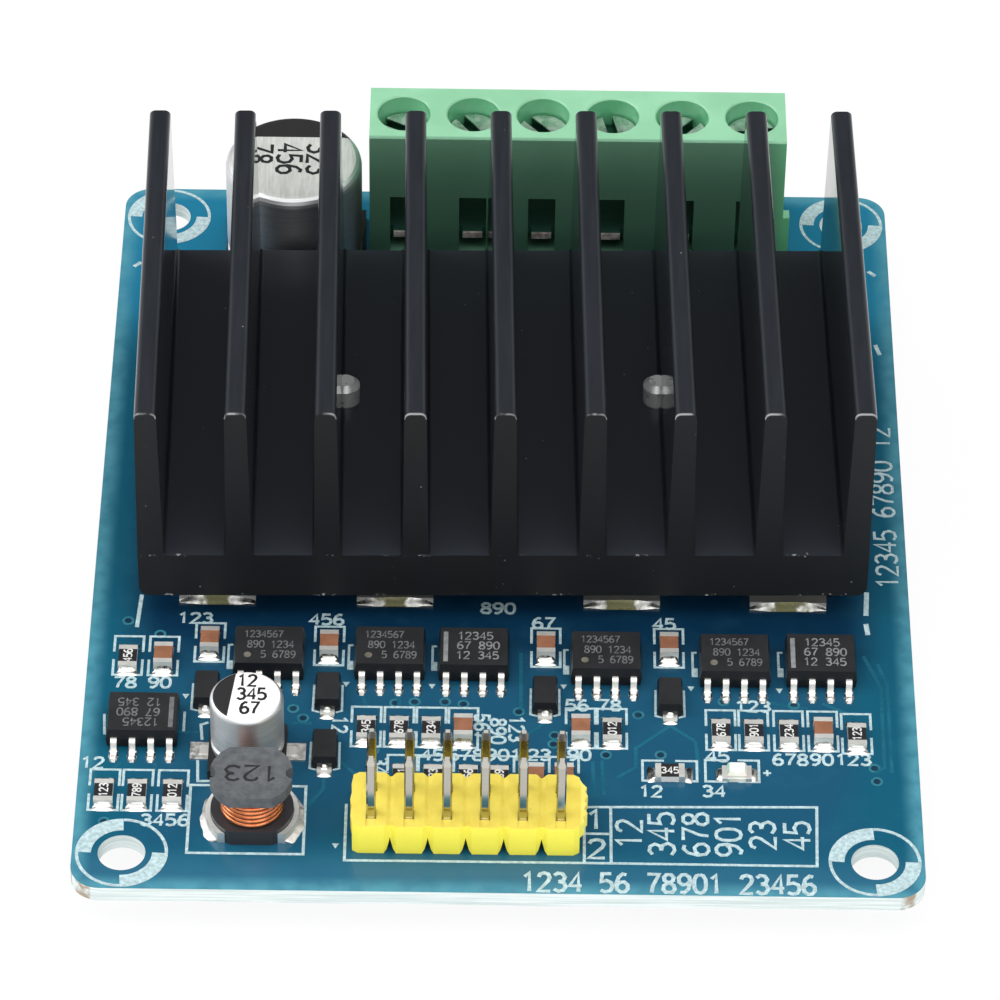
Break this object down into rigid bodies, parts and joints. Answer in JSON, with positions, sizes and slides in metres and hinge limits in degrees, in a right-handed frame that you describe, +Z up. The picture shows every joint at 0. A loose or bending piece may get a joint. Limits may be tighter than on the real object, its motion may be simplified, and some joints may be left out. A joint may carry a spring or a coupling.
{
  "type": "dc motor driver module",
  "caption": "Motor driver board with a finned heatsink over its power stage, a screw terminal block and a pin header for the control signals.",
  "frame": {"origin": "centre of the board's mounting hole pattern, on the board's lower face", "axes": "+Z up out of the component side, +Y towards the screw terminals, -Y towards the pin header, +X to the right seen from the header side"},
  "size_m": [0.0572, 0.072, 0.023],
  "materials": {
    "board_laminate": "glossy blue solder mask over glass laminate",
    "anodised_aluminium": "black anodised extrusion, satin",
    "silicone_pad": "matt silicone sheet",
    "screw_steel": "nickel plated steel",
    "tinned_metal": "tin plated, satin",
    "terminal_green": "moulded nylon, satin",
    "header_yellow": "moulded nylon, satin",
    "can_aluminium": "bright drawn can",
    "package_black": "moulded epoxy",
    "ferrite": "pressed ferrite, matt",
    "copper_wire": "enamelled copper wire",
    "resistor_glaze": "black glaze over ceramic",
    "ceramic": "fired brown ceramic",
    "led_resin": "clear resin on a white base",
    "silk_white": "printed white ink"
  },
  "bodies": {
    "root": {"circuit_board": "board_laminate", "heatsink": "anodised_aluminium", "thermal_pad": "silicone_pad", "heatsink_screws": "screw_steel", "heatsink_washers": "screw_steel", "heatsink_spring_washers": "screw_steel", "terminal_housing": "terminal_green", "terminal_screws": "screw_steel", "terminal_clamps": "screw_steel", "terminal_contacts": "tinned_metal", "header_strip": "header_yellow", "header_pins": "tinned_metal", "bulk_capacitor_can": "can_aluminium", "bulk_capacitor_base": "package_black", "bulk_capacitor_leads": "tinned_metal", "small_capacitor_can": "can_aluminium", "small_capacitor_base": "package_black", "small_capacitor_leads": "tinned_metal", "inductor_core": "ferrite", "inductor_winding": "copper_wire", "inductor_terminals": "tinned_metal", "diode_bodies": "package_black", "diode_leads": "tinned_metal", "led_body": "led_resin", "led_terminals": "tinned_metal", "resistor_bodies": "resistor_glaze", "resistor_ends": "tinned_metal", "capacitor_bodies": "ceramic", "capacitor_ends": "tinned_metal", "transistor_1_body": "package_black", "transistor_2_body": "package_black", "transistor_3_body": "package_black", "transistor_4_body": "package_black", "transistor_5_body": "package_black", "transistor_6_body": "package_black", "transistor_7_body": "package_black", "transistor_8_body": "package_black", "transistor_1_leadframe": "tinned_metal", "transistor_2_leadframe": "tinned_metal", "transistor_3_leadframe": "tinned_metal", "transistor_4_leadframe": "tinned_metal", "transistor_5_leadframe": "tinned_metal", "transistor_6_leadframe": "tinned_metal", "transistor_7_leadframe": "tinned_metal", "transistor_8_leadframe": "tinned_metal", "gate_driver_1_body": "package_black", "gate_driver_2_body": "package_black", "gate_driver_3_body": "package_black", "gate_driver_4_body": "package_black", "comparator_1_body": "package_black", "comparator_2_body": "package_black", "regulator_body": "package_black", "gate_driver_1_leads": "tinned_metal", "gate_driver_2_leads": "tinned_metal", "gate_driver_3_leads": "tinned_metal", "gate_driver_4_leads": "tinned_metal", "comparator_1_leads": "tinned_metal", "comparator_2_leads": "tinned_metal", "regulator_leads": "tinned_metal"}
  },
  "joints": []
}
